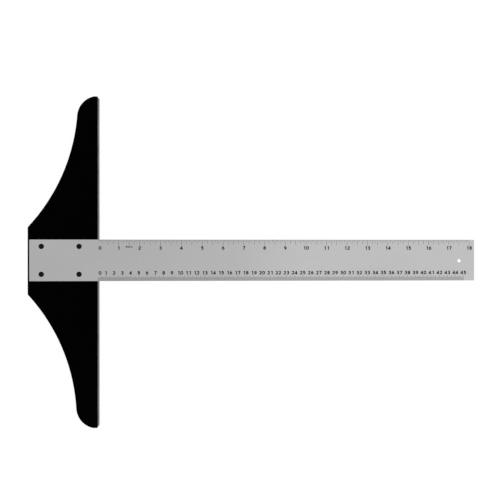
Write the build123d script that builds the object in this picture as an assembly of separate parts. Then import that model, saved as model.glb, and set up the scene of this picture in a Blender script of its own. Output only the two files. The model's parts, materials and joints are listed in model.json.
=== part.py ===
from build123d import *
import math
import os

os.makedirs("parts", exist_ok=True)

# A fixed-head T square in millimetres. The origin is on the head's working face, on the blade's
# centre line, level with the blade's underside. +X runs along the blade, +Y along the head's
# upper arm, +Z out of the blade's graduated side.

# Blade: one flat strip of aluminium, nominally two inches wide.
BLADE_WIDTH = 50.4
BLADE_THICKNESS = 1.27
BLADE_START_X = -82.2
BLADE_END_X = 463.2
BLADE_CORNER_RADIUS = 0.8
HANG_HOLE_X = 444.5
HANG_HOLE_Y = -0.8
HANG_HOLE_RADIUS = 2.2

# Head: a moulding with two arms. Each flank is a concave arc from the outer flat to the waist,
# and runs on smoothly into a convex tip arc, which meets the square-cut end of the arm.
HEAD_REACH = 84.2
HEAD_TOP_Z = 1.0
HEAD_BOTTOM_Z = -11.0
FLANK_RADIUS = 226.0
TIP_RADIUS = 25.8
TIP_CENTRE_INSET = 25.2
ARMS = {
    "upper": {"side": 1, "length": 199.1, "waist": 24.2, "outer_flat": 40.2},
    "lower": {"side": -1, "length": 203.6, "waist": 25.6, "outer_flat": 41.3},
}
END_CORNER_RADIUS = 1.5
OUTER_CORNER_RADIUS = 0.8
TOP_EDGE_RADIUS = 0.3
BLADE_SEAT_CLEARANCE = 0.15

# Rivets: semi-tubular, dome head on the blade, tail rolled over a burr washer under a boss.
RIVET_OUTER_X = -67.8
RIVET_INNER_X = -22.5
RIVET_ROW_Y = 16.9
RIVET_HEAD_RADIUS = 3.25
RIVET_HEAD_HEIGHT = 1.1
RIVET_RIM_HEIGHT = 0.25
RIVET_SHANK_RADIUS = 1.8
RIVET_CLEARANCE = 0.05
RIVET_BORE_RADIUS = 1.15
RIVET_BORE_DEPTH = 4.0
RIVET_TAIL_RADIUS = 2.9
RIVET_TAIL_HEIGHT = 1.0
TAIL_BEVEL = 0.5
BOSS_RADIUS = 5.0
BOSS_BOTTOM_Z = -6.0
WELL_RADIUS = 4.6
WASHER_RADIUS = 4.2
WASHER_THICKNESS = 0.8
WASHER_CHAMFER = 0.15

# Underside of the head: a deck stiffened by walls and ribs that all end on the resting plane.
DECK_BOTTOM_Z = -3.0
RIM_WALL = 2.4
WORKING_WALL = 4.0
RIB_THICKNESS = 1.8
CROSS_RIBS_Y = [RIVET_ROW_Y, 40.5, 72.0, 104.0, 136.0, 168.0]
CENTRE_SPINE_X = (RIVET_OUTER_X + RIVET_INNER_X) / 2
ARM_SPINE_X = -30.0
CENTRE_END_Y = CROSS_RIBS_Y[1]
ARM_SPINE_END_Y = CROSS_RIBS_Y[3]

WASHER_BOTTOM_Z = BOSS_BOTTOM_Z - WASHER_THICKNESS
TAIL_BOTTOM_Z = WASHER_BOTTOM_Z - RIVET_TAIL_HEIGHT
RIVET_HOLE_RADIUS = RIVET_SHANK_RADIUS + RIVET_CLEARANCE
RIVET_PLACES = {
    "outer_upper": (RIVET_OUTER_X, RIVET_ROW_Y),
    "outer_lower": (RIVET_OUTER_X, -RIVET_ROW_Y),
    "inner_upper": (RIVET_INNER_X, RIVET_ROW_Y),
    "inner_lower": (RIVET_INNER_X, -RIVET_ROW_Y),
}


def plate(x_range, y_range, z_range):
    """A rectangular block between the given limits."""
    (x0, x1), (y0, y1), (z0, z1) = x_range, y_range, z_range
    centre = ((x0 + x1) / 2, (y0 + y1) / 2, (z0 + z1) / 2)
    return Pos(*centre) * Box(x1 - x0, y1 - y0, z1 - z0)


def rod(place, radius, z_range):
    """An upright cylinder at a place in the plan."""
    z0, z1 = z_range
    return Pos(place[0], place[1], (z0 + z1) / 2) * Cylinder(radius, z1 - z0)


def arc(centre, radius, start, end):
    """The shorter arc about a centre from one point to another."""
    chord_middle = ((start[0] + end[0]) / 2, (start[1] + end[1]) / 2)
    angle = math.atan2(chord_middle[1] - centre[1], chord_middle[0] - centre[0])
    middle = (centre[0] + radius * math.cos(angle), centre[1] + radius * math.sin(angle))
    return ThreePointArc(start, middle, end)


def arm_edges(arm, inset, face_inset):
    """One arm's outline from the working face round to the outer flat, moved inwards by inset."""
    side = arm["side"]
    flank_x = -arm["waist"] - FLANK_RADIUS
    flank_rise = math.sqrt(FLANK_RADIUS**2 - (HEAD_REACH + flank_x) ** 2)
    flank_centre = (flank_x, side * (arm["outer_flat"] + flank_rise))
    tip_y = side * (arm["length"] - TIP_CENTRE_INSET)
    spacing = FLANK_RADIUS + TIP_RADIUS
    tip_centre = (flank_x + math.sqrt(spacing**2 - (flank_centre[1] - tip_y) ** 2), tip_y)

    flank_radius = FLANK_RADIUS + inset
    tip_radius = TIP_RADIUS - inset
    end_y = side * (arm["length"] - inset)
    outer_x = inset - HEAD_REACH
    end_face = (-face_inset, end_y)
    end_tip = (tip_centre[0] - math.sqrt(tip_radius**2 - (end_y - tip_y) ** 2), end_y)
    share = flank_radius / spacing
    waist = tuple(f + share * (t - f) for f, t in zip(flank_centre, tip_centre))
    drop = math.sqrt(flank_radius**2 - (outer_x - flank_x) ** 2)
    outer = (outer_x, flank_centre[1] - side * drop)
    edges = [
        Line(end_face, end_tip),
        arc(tip_centre, tip_radius, end_tip, waist),
        arc(flank_centre, flank_radius, waist, outer),
    ]
    return edges, end_face, outer


def head_plan(inset=0.0, face_inset=0.0):
    """The head's outline as a flat face, moved inwards by inset."""
    upper, upper_face, upper_outer = arm_edges(ARMS["upper"], inset, face_inset)
    lower, lower_face, lower_outer = arm_edges(ARMS["lower"], inset, face_inset)
    closing = [Line(upper_face, lower_face), Line(upper_outer, lower_outer)]
    return make_face(Curve() + (upper + lower + closing))


def upright_edges(solid, x_limit, y_limit):
    """Vertical edges that stand at a given X and further out than a given Y."""
    return [
        edge
        for edge in solid.edges().filter_by(Axis.Z)
        if abs(edge.center().X - x_limit) < 0.01 and abs(edge.center().Y) > y_limit
    ]


def pocket_cells():
    """The openings between the ribs, as blocks that reach past the rim on every side."""
    half = RIB_THICKNESS / 2
    deep = (HEAD_BOTTOM_Z, DECK_BOTTOM_Z)
    rows = [-y for y in reversed(CROSS_RIBS_Y)] + CROSS_RIBS_Y
    limits = [-HEAD_REACH * 3] + rows + [HEAD_REACH * 3]
    cells = []
    for low, high in zip(limits, limits[1:]):
        middle = abs(low + high) / 2
        columns = [-HEAD_REACH, 0]
        if middle < CENTRE_END_Y:
            columns = [-HEAD_REACH, CENTRE_SPINE_X, 0]
        elif middle < ARM_SPINE_END_Y:
            columns = [-HEAD_REACH, ARM_SPINE_X, 0]
        for left, right in zip(columns, columns[1:]):
            cells.append(plate((left + half, right - half), (low + half, high - half), deep))
    return cells


def make_head():
    body = Pos(0, 0, HEAD_BOTTOM_Z) * extrude(head_plan(), HEAD_TOP_Z - HEAD_BOTTOM_Z)
    body = fillet(upright_edges(body, 0, RIVET_ROW_Y), END_CORNER_RADIUS)
    body = fillet(upright_edges(body, -HEAD_REACH, RIVET_ROW_Y), OUTER_CORNER_RADIUS)
    body = fillet(body.faces().sort_by(Axis.Z)[-1].edges(), TOP_EDGE_RADIUS)

    channel_half = BLADE_WIDTH / 2 + BLADE_SEAT_CLEARANCE
    channel_start = BLADE_START_X - BLADE_SEAT_CLEARANCE
    body -= plate((channel_start, HEAD_TOP_Z), (-channel_half, channel_half), (0, 2 * HEAD_TOP_Z))

    hollow_depth = DECK_BOTTOM_Z - HEAD_BOTTOM_Z
    hollow = Pos(0, 0, HEAD_BOTTOM_Z) * extrude(head_plan(RIM_WALL, WORKING_WALL), hollow_depth)
    for place in RIVET_PLACES.values():
        hollow -= rod(place, BOSS_RADIUS, (BOSS_BOTTOM_Z, DECK_BOTTOM_Z))
    for cell in pocket_cells():
        body -= hollow & cell
    for place in RIVET_PLACES.values():
        body -= rod(place, WELL_RADIUS, (HEAD_BOTTOM_Z, BOSS_BOTTOM_Z))
        body -= rod(place, RIVET_HOLE_RADIUS, (HEAD_BOTTOM_Z, HEAD_TOP_Z))
    return body


def make_blade():
    half = BLADE_WIDTH / 2
    blade = plate((BLADE_START_X, BLADE_END_X), (-half, half), (0, BLADE_THICKNESS))
    blade = fillet(blade.edges().filter_by(Axis.Z), BLADE_CORNER_RADIUS)
    blade -= rod((HANG_HOLE_X, HANG_HOLE_Y), HANG_HOLE_RADIUS, (0, BLADE_THICKNESS))
    for place in RIVET_PLACES.values():
        blade -= rod(place, RIVET_HOLE_RADIUS, (0, BLADE_THICKNESS))
    return blade


def make_rivet(place):
    """Dome head, shank and rolled tail as one turned profile, with the tail's bore left open."""
    head_bottom = BLADE_THICKNESS
    rim_top = head_bottom + RIVET_RIM_HEIGHT
    crown = head_bottom + RIVET_HEAD_HEIGHT
    rise = crown - rim_top
    dome_radius = (RIVET_HEAD_RADIUS**2 + rise**2) / (2 * rise)
    dome = arc((0, crown - dome_radius), dome_radius, (0, crown), (RIVET_HEAD_RADIUS, rim_top))
    bore_top = TAIL_BOTTOM_Z + RIVET_BORE_DEPTH
    tail_middle = WASHER_BOTTOM_Z - RIVET_TAIL_HEIGHT / 2
    outside = Polyline(
        (RIVET_HEAD_RADIUS, rim_top),
        (RIVET_HEAD_RADIUS, head_bottom),
        (RIVET_SHANK_RADIUS, head_bottom),
        (RIVET_SHANK_RADIUS, WASHER_BOTTOM_Z),
        (RIVET_TAIL_RADIUS, WASHER_BOTTOM_Z),
        (RIVET_TAIL_RADIUS, tail_middle),
        (RIVET_TAIL_RADIUS - TAIL_BEVEL, TAIL_BOTTOM_Z),
        (RIVET_BORE_RADIUS + TAIL_BEVEL, TAIL_BOTTOM_Z),
        (RIVET_BORE_RADIUS, tail_middle),
        (RIVET_BORE_RADIUS, bore_top),
        (0, bore_top),
        (0, crown),
    )
    profile = Plane.XZ * make_face(Curve() + [dome, outside])
    return Pos(place[0], place[1], 0) * revolve(profile, Axis.Z)


def make_washer(place):
    washer = rod(place, WASHER_RADIUS, (WASHER_BOTTOM_Z, BOSS_BOTTOM_Z))
    washer = chamfer(washer.edges().filter_by(GeomType.CIRCLE), WASHER_CHAMFER)
    return washer - rod(place, RIVET_HOLE_RADIUS, (WASHER_BOTTOM_Z, BOSS_BOTTOM_Z))


export_step(make_blade(), "parts/blade.step")
export_step(make_head(), "parts/head.step")
for name, place in RIVET_PLACES.items():
    export_step(make_rivet(place), f"parts/rivet_{name}.step")
    export_step(make_washer(place), f"parts/washer_{name}.step")
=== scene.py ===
import json
import math

import bmesh
import bpy
from mathutils import Matrix, Vector
from mathutils.geometry import delaunay_2d_cdt


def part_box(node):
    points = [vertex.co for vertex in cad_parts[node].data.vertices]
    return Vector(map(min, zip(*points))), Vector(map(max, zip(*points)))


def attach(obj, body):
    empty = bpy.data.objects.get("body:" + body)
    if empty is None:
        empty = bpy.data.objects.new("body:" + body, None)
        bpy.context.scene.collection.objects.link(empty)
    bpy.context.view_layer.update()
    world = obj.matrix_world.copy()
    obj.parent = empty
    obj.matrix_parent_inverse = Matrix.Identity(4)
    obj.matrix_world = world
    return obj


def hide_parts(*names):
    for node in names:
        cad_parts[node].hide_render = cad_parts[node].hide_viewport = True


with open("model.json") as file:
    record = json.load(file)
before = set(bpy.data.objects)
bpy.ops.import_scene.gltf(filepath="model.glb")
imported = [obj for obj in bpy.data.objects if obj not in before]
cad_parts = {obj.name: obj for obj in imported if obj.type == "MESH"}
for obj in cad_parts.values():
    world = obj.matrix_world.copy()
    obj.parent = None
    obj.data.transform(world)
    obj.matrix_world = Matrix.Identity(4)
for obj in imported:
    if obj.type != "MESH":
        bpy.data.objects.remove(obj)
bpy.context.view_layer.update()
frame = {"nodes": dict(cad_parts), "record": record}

MM = 0.001
CM = 10 * MM
INCH = 25.4 * MM
NODES = frame["nodes"]
SLOTS = {s["node"]: s["material_slot"] for s in frame["record"]["subparts"]}
BLADE_LOW, BLADE_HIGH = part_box("blade")
HEAD_LOW, HEAD_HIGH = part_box("head")
HANG_HOLE = next(m for m in frame["record"]["mounts"] if m["name"] == "hang_hole")

# Blade: the CAD strip with its real broken edges. A face is level if its normal's z part is
# over LEVEL_FACE, and edges sharper than SHARP_EDGE aren't shaded smooth.
BLADE_CORNER = 0.8 * MM
BLADE_CHAMFER = 0.12 * MM
RIVET_HOLE_RADIUS = 1.85 * MM
CORNER_STEPS = 6
HOLE_STEPS = 64
LEVEL_FACE = 0.9
SHARP_EDGE = math.radians(30)

# Printing: both scales start at the working face, within the print's own tolerance. A tick's
# length goes by the largest number in the table that divides its own.
SCALE_ZERO_X = HEAD_HIGH.x - 0.35 * MM
INK_RAISED = 0.02 * MM
INK_SUNK = 0.02 * MM
INCH_COUNT = 18
TICKS_PER_INCH = 16
INCH_TICK_WIDTH = 0.34 * MM
INCH_TICKS = {16: 7.0 * MM, 8: 6.4 * MM, 4: 5.0 * MM, 2: 3.2 * MM, 1: 1.7 * MM}
CM_COUNT = 45
TICKS_PER_CM = 10
CM_TICK_WIDTH = 0.27 * MM
CM_TICKS = {10: 7.0 * MM, 5: 6.2 * MM, 1: 4.7 * MM}

# Numerals: round drafting figures of one line weight, which is a share of their height.
NUMERAL_HEIGHT = 4.4 * MM
NUMERAL_STROKE = 0.235
NUMERAL_PITCH = 3.8 * MM
INCH_NUMERAL_Y = 15.0 * MM
CM_NUMERAL_Y = -15.3 * MM
ZERO_NUMERAL_SHIFT = 3.1 * MM

# Unit label beside the first inch. The font's capitals are as high as CAPITAL_SHARE of its size.
UNIT_LABEL = "INCH"
UNIT_LABEL_HEIGHT = 2.3 * MM
UNIT_LABEL_X = 37.8 * MM
UNIT_LABEL_Y = 16.3 * MM
UNIT_LABEL_BOLD = 0.10 * MM
UNIT_LABEL_SPACING = 1.08
CAPITAL_SHARE = 0.72

# Drawing of the figures: degrees to a step of a bow, the least cosine that a mitre may have,
# and how close two corners are before they merge, in figures and in meshes made from curves.
BOW_STEP = 13
MITRE_LIMIT = 0.5
MERGE_DISTANCE = 1e-6
WELD_DISTANCE = 1e-7

# Materials: most of a noise lies in NOISE_RANGE, and every grey has BLUE_SHARE times as much
# blue as red and green.
NOISE_RANGE = (0.3, 0.7)
BLUE_SHARE = 1.005

# Floor: a white slab under the head.
FLOOR_HALF_WIDTH = 4.0
FLOOR_THICKNESS = 20 * MM

# Camera: above the blade, leaning a little towards its free end.
CAMERA_HEIGHT = 849.5 * MM
CAMERA_FROM_FACE = 149.96 * MM
CAMERA_FROM_MIDDLE = 12.54 * MM
CAMERA_LEAN = math.radians(2.354)
CAMERA_LENS = 50.0
CAMERA_SENSOR = 36.0

# Studio dome: brightness steps along a direction's x or z part, as (axis, from, to, low, high).
DOME_STEPS = [
    ("Z", 0.10, 0.36, 1.00, 0.58),
    ("Z", 0.30, 0.85, 0.00, -0.116),
    ("X", -0.24, -0.10, 0.00, 0.018),
    ("X", -0.08, -0.03, 0.00, 0.014),
    ("X", 0.035, 0.075, 0.00, 0.119),
    ("X", 0.14, 0.22, 0.00, -0.034),
    ("X", 0.30, 0.38, 0.00, 0.045),
]


def new_object(name, mesh):
    """A mesh, curve or text as an object in the scene."""
    piece = bpy.data.objects.new(name, mesh)
    bpy.context.scene.collection.objects.link(piece)
    return piece


def finish_piece(piece, materials):
    """Gives a piece its materials, and rides it on the one body."""
    piece.data.materials.clear()
    for material in materials:
        piece.data.materials.append(material)
    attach(piece, "root")
    return piece


# ---------------------------------------------------------------- materials


class Nodes:
    """Adds nodes to the tree of a material or a world, and joins them."""

    def __init__(self, owner):
        owner.use_nodes = True
        self.owner = owner
        self.tree = owner.node_tree

    def add(self, kind, inputs=None, **settings):
        """A new node with its settings and inputs."""
        node = self.tree.nodes.new(kind)
        for key, value in settings.items():
            setattr(node, key, value)
        for key, value in (inputs or {}).items():
            self.put(node, key, value)
        return node

    def put(self, node, key, value):
        """Links a socket to a node's input, or sets the input to a plain value."""
        if isinstance(value, bpy.types.NodeSocket):
            self.tree.links.new(value, node.inputs[key])
        else:
            node.inputs[key].default_value = value

    def surface(self, **inputs):
        """Inputs of a material's surface shader, with underscores for their spaces."""
        shader = self.tree.nodes["Principled BSDF"]
        for key, value in inputs.items():
            self.put(shader, key.replace("_", " "), value)

    def noise(self, stretch, detail=3.0, roughness=0.5):
        """Noise over the object's own coordinates, with so many features per metre each way."""
        place = self.add("ShaderNodeTexCoord").outputs["Object"]
        place = self.add("ShaderNodeMapping", {"Vector": place, "Scale": stretch}).outputs["Vector"]
        inputs = {"Vector": place, "Scale": 1.0, "Detail": detail, "Roughness": roughness}
        return self.add("ShaderNodeTexNoise", inputs).outputs["Fac"]

    def step(self, value, start, stop, low, high, **settings):
        """A value that runs from low to high while another runs from start to stop."""
        inputs = {"Value": value, "From Min": start, "From Max": stop, "To Min": low, "To Max": high}
        return self.add("ShaderNodeMapRange", inputs, **settings).outputs["Result"]

    def math(self, operation, first, second):
        """A sum or product of two values."""
        return self.add("ShaderNodeMath", {0: first, 1: second}, operation=operation).outputs[0]

    def spread(self, fac, low, high):
        """A noise value stretched to run from low to high."""
        return self.step(fac, *NOISE_RANGE, low, high)

    def tint(self, fac, dark, light):
        """A grey between two values, by a noise value."""
        grey = self.spread(fac, dark, light)
        inputs = {"Red": grey, "Green": grey, "Blue": self.math("MULTIPLY", grey, BLUE_SHARE)}
        return self.add("ShaderNodeCombineColor", inputs).outputs["Color"]

    def bump(self, height, distance, strength, normal=None):
        """A surface normal from a noise value, over an earlier normal if there is one."""
        inputs = {"Height": height, "Distance": distance, "Strength": strength}
        if normal is not None:
            inputs["Normal"] = normal
        return self.add("ShaderNodeBump", inputs).outputs["Normal"]


def blade_metal():
    """Satin aluminium, rolled and finely brushed along the blade, with faint cloudiness."""
    n = Nodes(bpy.data.materials.new("brushed_aluminium"))
    streaks = n.noise((25, 5200, 5200), detail=4.0, roughness=0.6)
    scratches = n.noise((60, 1500, 1500), detail=2.0)
    clouds = n.noise((14, 26, 26), detail=4.0)
    across_the_brushing = n.add("ShaderNodeCombineXYZ", {"Y": 1.0}).outputs["Vector"]
    n.surface(
        Base_Color=n.tint(clouds, 0.865, 0.895),
        Metallic=1.0,
        Roughness=n.spread(streaks, 0.18, 0.32),
        Anisotropic=0.6,
        Tangent=across_the_brushing,
        Normal=n.bump(scratches, 2e-6, 0.7, n.bump(streaks, 1.5e-6, 0.9)),
    )
    return n.owner


def sheared_metal():
    """The blade's cut and deburred edges, rougher than its faces, with their colour painted darker
    as shade along the rims.
    """
    n = Nodes(bpy.data.materials.new("sheared_aluminium_painted_shade"))
    grain = n.noise((700, 700, 3000), detail=3.0)
    n.surface(
        # Painted shade: the edges' base colour is set far darker than the faces', so the rims read
        # as a dark line.
        Base_Color=n.tint(grain, 0.40, 0.52),
        Metallic=1.0,
        Roughness=n.spread(grain, 0.38, 0.52),
        Normal=n.bump(grain, 6e-6, 0.6),
    )
    return n.owner


def head_plastic():
    """Deep black moulded plastic: fine grain, and smoother patches where hands rub it."""
    n = Nodes(bpy.data.materials.new("black_plastic"))
    grain = n.noise((2600, 2600, 2600), detail=3.0)
    rubbed = n.noise((35, 35, 35), detail=4.0)
    n.surface(
        Base_Color=n.tint(rubbed, 0.0002, 0.0006),
        Roughness=n.spread(rubbed, 0.30, 0.42),
        Specular_IOR_Level=0.30,
        Specular_Tint=(0.03, 0.03, 0.03, 1.0),
        Normal=n.bump(grain, 8e-6, 0.5),
    )
    return n.owner


def rivet_metal():
    """Black-finished rivet metal, a little brighter than the plastic."""
    n = Nodes(bpy.data.materials.new("black_rivet_metal"))
    wear = n.noise((900, 900, 900), detail=3.0)
    n.surface(
        Base_Color=n.tint(wear, 0.002, 0.005),
        Roughness=n.spread(wear, 0.22, 0.34),
        Specular_IOR_Level=0.45,
        Specular_Tint=(0.35, 0.35, 0.35, 1.0),
        Normal=n.bump(wear, 5e-6, 0.4),
    )
    return n.owner


def washer_steel():
    """Plain stamped steel with a fine grain."""
    n = Nodes(bpy.data.materials.new("plain_steel"))
    grain = n.noise((1800, 1800, 1800), detail=3.0)
    n.surface(
        Base_Color=n.tint(grain, 0.42, 0.52),
        Metallic=1.0,
        Roughness=n.spread(grain, 0.32, 0.5),
        Normal=n.bump(grain, 6e-6, 0.4),
    )
    return n.owner


def ink():
    """Black etching ink, slightly uneven."""
    n = Nodes(bpy.data.materials.new("black_ink"))
    patches = n.noise((1200, 1200, 1200), detail=2.0)
    n.surface(
        Base_Color=n.tint(patches, 0.003, 0.008),
        Roughness=n.spread(patches, 0.45, 0.6),
        Specular_IOR_Level=0.15,
        Normal=n.bump(patches, 3e-6, 0.5),
    )
    return n.owner


def floor_white():
    """A floor that is as good as white by its own light, so that it takes hardly any shadow."""
    n = Nodes(bpy.data.materials.new("white_floor"))
    n.surface(
        Base_Color=(0.1, 0.1, 0.1, 1.0),
        Roughness=0.9,
        Specular_IOR_Level=0.1,
        Emission_Color=(1.0, 1.0, 1.0, 1.0),
        Emission_Strength=0.95,
    )
    return n.owner


# ------------------------------------------------------------------- meshes


def arc_points(centre, radius, start, stop, steps):
    """Points along an arc, angles in degrees, both ends included."""
    points = []
    for i in range(steps + 1):
        angle = math.radians(start + (stop - start) * i / steps)
        points.append((centre[0] + radius * math.cos(angle), centre[1] + radius * math.sin(angle)))
    return points


def blade_outline():
    """The strip's plan with its four small rounded corners."""
    x0, x1 = BLADE_LOW.x + BLADE_CORNER, BLADE_HIGH.x - BLADE_CORNER
    y0, y1 = BLADE_LOW.y + BLADE_CORNER, BLADE_HIGH.y - BLADE_CORNER
    corners = [((x1, y1), 0), ((x0, y1), 90), ((x0, y0), 180), ((x1, y0), 270)]
    outline = []
    for centre, start in corners:
        outline += arc_points(centre, BLADE_CORNER, start, start + 90, CORNER_STEPS)
    return outline


def round_hole(centre, radius):
    """Points round a circle, the last one short of the first."""
    return arc_points(centre, radius, 0, 360 * (1 - 1 / HOLE_STEPS), HOLE_STEPS - 1)


def cut_plate(name, outline, holes, low_z, high_z, chamfer):
    """A flat plate with holes, its top and bottom edges chamfered all round."""
    curve = bpy.data.curves.new(name, "CURVE")
    curve.dimensions = "2D"
    curve.fill_mode = "BOTH"
    curve.extrude = (high_z - low_z) / 2 - chamfer
    curve.bevel_depth = chamfer
    curve.bevel_resolution = 0
    curve.offset = -chamfer
    for points in [outline] + holes:
        spline = curve.splines.new("POLY")
        spline.points.add(len(points) - 1)
        for point, (x, y) in zip(spline.points, points):
            point.co = (x, y, 0, 1)
        spline.use_cyclic_u = True
    mesh = curve_mesh(name, curve)
    mesh.transform(Matrix.Translation((0, 0, (low_z + high_z) / 2)))
    return mesh


def curve_mesh(name, curve):
    """The mesh of a curve or text, with its caps joined to its sides."""
    holder = new_object(name + "_curve", curve)
    graph = bpy.context.evaluated_depsgraph_get()
    mesh = bpy.data.meshes.new_from_object(holder.evaluated_get(graph))
    bpy.data.objects.remove(holder)
    bpy.data.curves.remove(curve)
    mesh.name = name
    shape = bmesh.new()
    shape.from_mesh(mesh)
    bmesh.ops.remove_doubles(shape, verts=shape.verts, dist=WELD_DISTANCE)
    bmesh.ops.recalc_face_normals(shape, faces=shape.faces)
    shape.to_mesh(mesh)
    shape.free()
    return mesh


def bars_mesh(name, bars, low_z, high_z):
    """Closed flat bars, one for each (low x, high x, low y, high y)."""
    shape = bmesh.new()
    for x0, x1, y0, y1 in bars:
        lower, upper = (
            [shape.verts.new((x, y, z)) for x, y in ((x0, y0), (x1, y0), (x1, y1), (x0, y1))]
            for z in (low_z, high_z)
        )
        shape.faces.new(reversed(lower))
        shape.faces.new(upper)
        for i in range(4):
            j = (i + 1) % 4
            shape.faces.new((lower[i], lower[j], upper[j], upper[i]))
    mesh = bpy.data.meshes.new(name)
    shape.to_mesh(mesh)
    shape.free()
    return mesh


def ticks(name, count, unit, parts, lengths, width, side):
    """One scale's graduations, inwards from the edge. Its zero is the working face, with no line."""
    edge = side * (BLADE_HIGH.y - BLADE_CHAMFER)
    bars = []
    for i in range(1, count * parts + 1):
        x = SCALE_ZERO_X + i * unit / parts
        length = next(lengths[k] for k in sorted(lengths, reverse=True) if i % k == 0)
        ends = sorted((edge, side * (BLADE_HIGH.y - length)))
        bars.append((x - width / 2, x + width / 2, *ends))
    mesh = bars_mesh(name, bars, BLADE_HIGH.z - INK_SUNK, BLADE_HIGH.z + INK_RAISED)
    return new_object(name, mesh)


def bow(x, y, half_width, half_height, start, stop):
    """Points along part of an ellipse, angles in degrees."""
    steps = max(4, round(abs(stop - start) / BOW_STEP))
    arc = arc_points((0, 0), 1, start, stop, steps)
    return [(x + half_width * u, y + half_height * v) for u, v in arc]


def figure_strokes():
    """The middle lines of the ten figures, each about its own centre in a box one unit high."""
    top = 0.5 - NUMERAL_STROKE / 2
    half_width = 0.36 - NUMERAL_STROKE / 2
    zero_half_width = 0.41 - NUMERAL_STROKE / 2
    upper_bowl, lower_bowl = 0.46 * top, 0.54 * top
    two_bowl = 0.6 * top
    five_bowl = 0.66 * top
    six_bowl = 0.64 * top

    one = [[(0.13, 0.5), (0.13, -0.5)], [(-0.11, 0.257), (0.085, 0.41)]]
    two_foot = [(-half_width, -top), (half_width * 1.1, -top)]
    two = [bow(0, top - two_bowl, half_width * 0.95, two_bowl, 165, -38) + two_foot]
    three = [
        bow(-0.03, top - upper_bowl, half_width * 0.92, upper_bowl, 155, -90)
        + bow(-0.03, lower_bowl - top, half_width, lower_bowl, 90, -155)[1:]
    ]
    four = [
        [(0.1, top), (-half_width - 0.06, -0.2), (half_width + 0.1, -0.2)],
        [(0.12, 0.5), (0.12, -0.5)],
    ]
    five = [
        [(half_width, top), (-half_width * 0.75, top), (-half_width * 0.75, -0.06)],
        bow(-0.02, five_bowl - top, half_width, five_bowl, 140, -155),
    ]
    six = [
        bow(0, six_bowl - top, half_width, six_bowl, 180, 540),
        bow(half_width * 0.6, six_bowl - top, half_width * 1.6, 2 * top - six_bowl, 180, 95),
    ]
    seven = [[(-half_width - 0.05, top), (half_width, top), (-0.1, -0.49)]]
    eight = [
        bow(0, top - upper_bowl, half_width * 0.88, upper_bowl, -90, 270),
        bow(0, lower_bowl - top, half_width, lower_bowl, 90, 450),
    ]
    nine = [[(-x, -y) for x, y in stroke] for stroke in six]
    zero = [bow(0, 0, zero_half_width, top, 0, 360)]
    return [zero, one, two, three, four, five, six, seven, eight, nine]


def ribbon(points, width):
    """Quads that follow a line at one width, mitred at its corners."""
    line = [Vector(point) for point in points]
    closed = (line[0] - line[-1]).length < MERGE_DISTANCE
    if closed:
        line.pop()
    count = len(line)
    sides = []
    for i, point in enumerate(line):
        arrive = point - line[i - 1] if closed or i > 0 else line[1] - line[0]
        leave = line[(i + 1) % count] - point if closed or i < count - 1 else arrive
        arrive, leave = arrive.normalized(), leave.normalized()
        across = (arrive + leave).orthogonal().normalized()
        reach = width / 2 / max(MITRE_LIMIT, across.dot(arrive.orthogonal()))
        sides.append((point + across * reach, point - across * reach))
    quads = []
    for i in range(count if closed else count - 1):
        (left, right), (next_left, next_right) = sides[i], sides[(i + 1) % count]
        quads.append((right, next_right, next_left, left))
    return quads


def flat_solid(name, quads, low_z, high_z):
    """One closed flat solid over all the quads, overlaps merged."""
    corners = [corner for quad in quads for corner in quad]
    faces = [list(range(i, i + 4)) for i in range(0, len(corners), 4)]
    inside_constraints = 1
    merged = delaunay_2d_cdt(corners, [], faces, inside_constraints, MERGE_DISTANCE)
    points, triangles, sources = merged[0], merged[2], merged[5]
    kept = [triangle for triangle, source in zip(triangles, sources) if source]
    sides = {(t[i], t[(i + 1) % 3]) for t in kept for i in range(3)}
    shape = bmesh.new()
    lower, upper = (
        {i: shape.verts.new((*points[i], z)) for i in sorted({i for t in kept for i in t})}
        for z in (low_z, high_z)
    )
    for t in kept:
        shape.faces.new([upper[i] for i in t])
        shape.faces.new([lower[i] for i in reversed(t)])
    for a, b in sorted(sides):
        if (b, a) not in sides:
            shape.faces.new((lower[a], lower[b], upper[b], upper[a]))
    mesh = bpy.data.meshes.new(name)
    shape.to_mesh(mesh)
    shape.free()
    return mesh


def figure_meshes():
    """The figures 0 to 9 as thin raised solids, centred on the origin."""
    meshes = []
    for figure, strokes in enumerate(figure_strokes()):
        quads = [
            [corner * NUMERAL_HEIGHT for corner in quad]
            for stroke in strokes
            for quad in ribbon(stroke, NUMERAL_STROKE)
        ]
        meshes.append(flat_solid(f"figure_{figure}", quads, -INK_SUNK, INK_RAISED))
    return meshes


def numerals(name, count, unit, y, figures):
    """One scale's numbers, centred on their graduations, but for the zero, which is further in."""
    shape = bmesh.new()
    for number in range(count + 1):
        label = str(number)
        x = SCALE_ZERO_X + number * unit + (0 if number else ZERO_NUMERAL_SHIFT)
        for place, figure in enumerate(label):
            shift = (place - (len(label) - 1) / 2) * NUMERAL_PITCH
            first = len(shape.verts)
            shape.from_mesh(figures[int(figure)])
            shape.verts.ensure_lookup_table()
            bmesh.ops.translate(shape, verts=shape.verts[first:], vec=(x + shift, y, BLADE_HIGH.z))
    mesh = bpy.data.meshes.new(name)
    shape.to_mesh(mesh)
    shape.free()
    return new_object(name, mesh)


def unit_label():
    """The unit's name in small plain capitals, centred on its place."""
    text = bpy.data.curves.new("unit_label", "FONT")
    text.body = UNIT_LABEL
    text.align_x = "CENTER"
    text.align_y = "CENTER"
    text.size = UNIT_LABEL_HEIGHT / CAPITAL_SHARE
    text.extrude = (INK_RAISED + INK_SUNK) / 2
    text.offset = UNIT_LABEL_BOLD
    text.space_character = UNIT_LABEL_SPACING
    text.resolution_u = 4
    mesh = curve_mesh("unit_label", text)
    middle_z = BLADE_HIGH.z + (INK_RAISED - INK_SUNK) / 2
    mesh.transform(Matrix.Translation((UNIT_LABEL_X, UNIT_LABEL_Y, middle_z)))
    return new_object("unit_label", mesh)


# ------------------------------------------------------------------- pieces


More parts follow.
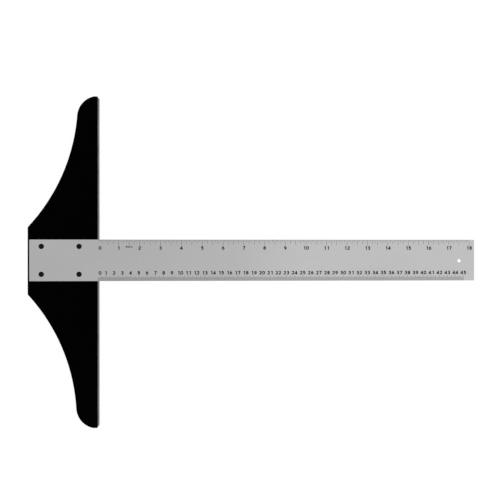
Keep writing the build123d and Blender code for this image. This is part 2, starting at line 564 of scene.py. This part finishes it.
def build_blade():
    """The blade's own piece, in place of the plain CAD strip."""
    holes = [round_hole(HANG_HOLE["pos_m"][:2], HANG_HOLE["dims"]["r_mm"] * MM)]
    for node in NODES:
        if node.startswith("rivet_"):
            low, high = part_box(node)
            holes.append(round_hole(((low.x + high.x) / 2, (low.y + high.y) / 2), RIVET_HOLE_RADIUS))
    mesh = cut_plate("blade_strip", blade_outline(), holes, BLADE_LOW.z, BLADE_HIGH.z, BLADE_CHAMFER)
    mesh.shade_smooth()
    mesh.set_sharp_from_angle(angle=SHARP_EDGE)
    strip = new_object("blade_strip", mesh)
    finish_piece(strip, [blade_metal(), sheared_metal()])
    # Level faces take the brushed metal. The sides, chamfers and hole walls take the edge metal with
    # its painted shade.
    for face in mesh.polygons:
        face.material_index = 0 if abs(face.normal.z) > LEVEL_FACE else 1
    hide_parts("blade")


def build_printing():
    """Both scales and the unit's name, as raised ink."""
    material = ink()
    figures = figure_meshes()
    pieces = [
        ticks("inch_graduations", INCH_COUNT, INCH, TICKS_PER_INCH, INCH_TICKS, INCH_TICK_WIDTH, 1),
        ticks("centimetre_graduations", CM_COUNT, CM, TICKS_PER_CM, CM_TICKS, CM_TICK_WIDTH, -1),
        numerals("inch_numerals", INCH_COUNT, INCH, INCH_NUMERAL_Y, figures),
        numerals("centimetre_numerals", CM_COUNT, CM, CM_NUMERAL_Y, figures),
        unit_label(),
    ]
    for piece in pieces:
        finish_piece(piece, [material])
    for mesh in figures:
        bpy.data.meshes.remove(mesh)


def dress_cad_nodes():
    """Materials for the CAD head, rivets and washers, by their slots."""
    materials = {
        "head_plastic": head_plastic(),
        "rivet_black": rivet_metal(),
        "washer_steel": washer_steel(),
    }
    for name, node in NODES.items():
        if SLOTS[name] in materials:
            for slot in node.material_slots:
                slot.material = materials[SLOTS[name]]


# -------------------------------------------------------------------- stage


def build_floor():
    """A plain floor that the head rests on."""
    bars = [(-FLOOR_HALF_WIDTH, FLOOR_HALF_WIDTH, -FLOOR_HALF_WIDTH, FLOOR_HALF_WIDTH)]
    mesh = bars_mesh("floor", bars, HEAD_LOW.z - FLOOR_THICKNESS, HEAD_LOW.z)
    floor = new_object("floor", mesh)
    floor.data.materials.append(floor_white())


def studio_dome():
    """Soft light: white up to the horizon, dimmer overhead, a little brighter past the free end."""
    n = Nodes(bpy.data.worlds.new("studio"))
    way = n.add("ShaderNodeTexCoord").outputs["Generated"]
    parts = n.add("ShaderNodeSeparateXYZ", {"Vector": way}).outputs
    strength = 0.0
    for axis, *limits in DOME_STEPS:
        step = n.step(parts[axis], *limits, interpolation_type="SMOOTHSTEP")
        strength = n.math("ADD", strength, step)
    background = n.tree.nodes["Background"]
    n.put(background, "Color", (1.0, 1.0, 1.0, 1.0))
    n.put(background, "Strength", strength)
    bpy.context.scene.world = n.owner


def build_camera():
    """A camera above the blade, between its middle line and its inch edge."""
    camera = bpy.data.cameras.new("camera")
    camera.sensor_width = CAMERA_SENSOR
    camera.lens = CAMERA_LENS
    stand = bpy.data.objects.new("camera", camera)
    bpy.context.scene.collection.objects.link(stand)
    stand.location = (
        HEAD_HIGH.x + CAMERA_FROM_FACE,
        CAMERA_FROM_MIDDLE,
        BLADE_HIGH.z + CAMERA_HEIGHT,
    )
    stand.rotation_euler = (0.0, -CAMERA_LEAN, 0.0)
    bpy.context.scene.camera = stand
    bpy.context.scene.view_settings.view_transform = "Standard"


build_camera()
build_blade()
build_printing()
dress_cad_nodes()
build_floor()
studio_dome()
